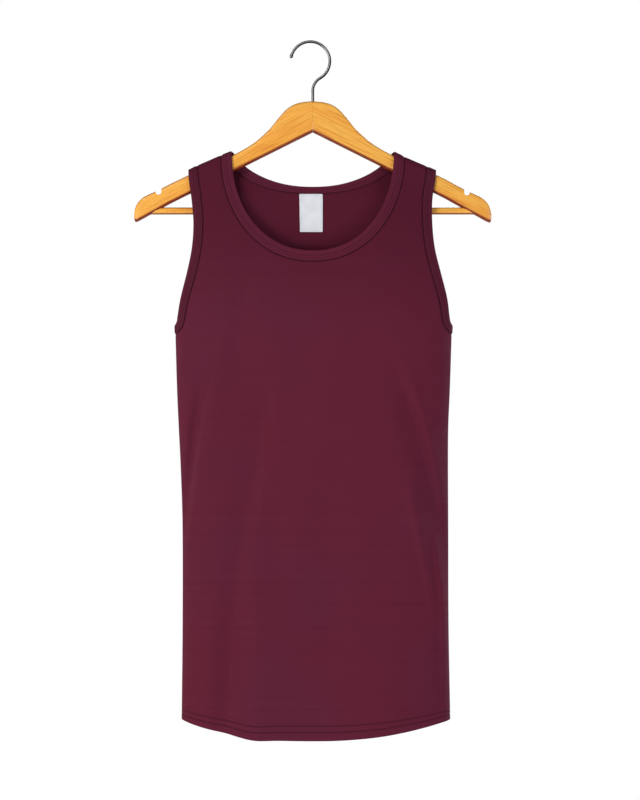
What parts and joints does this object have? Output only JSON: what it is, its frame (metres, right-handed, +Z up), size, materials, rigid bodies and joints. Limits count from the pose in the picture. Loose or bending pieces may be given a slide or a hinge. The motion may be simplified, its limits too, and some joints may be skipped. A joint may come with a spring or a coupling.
{
  "type": "sleeveless performance shirt on a wooden hanger",
  "caption": "Sleeveless athletic shirt with bound neck and armholes, hanging open on a two-piece wooden hanger with a trouser bar and a wire hook.",
  "frame": {"origin": "inside the hook's crown, where it rests on its rail, on the hanger's middle plane", "axes": "+Z up along the hanging shirt, -Y out of the shirt's front, +X to the right as seen from the front"},
  "size_m": [0.445, 0.0617, 0.8692],
  "materials": {
    "jersey": "thin maroon polyester jersey, soft, with a slight sheen",
    "band_jersey": "the same jersey, folded and topstitched",
    "label_tape": "plain white woven tape",
    "varnished_wood": "honey-coloured wood under satin varnish",
    "bright_steel": "bright plated wire"
  },
  "bodies": {
    "root": {"front_panel": "jersey", "back_panel": "jersey", "neck_band": "band_jersey", "armhole_band_left": "band_jersey", "armhole_band_right": "band_jersey", "neck_label": "label_tape", "hanger_arm_left": "varnished_wood", "hanger_arm_right": "varnished_wood", "trouser_bar": "varnished_wood", "hook": "bright_steel"}
  },
  "joints": []
}
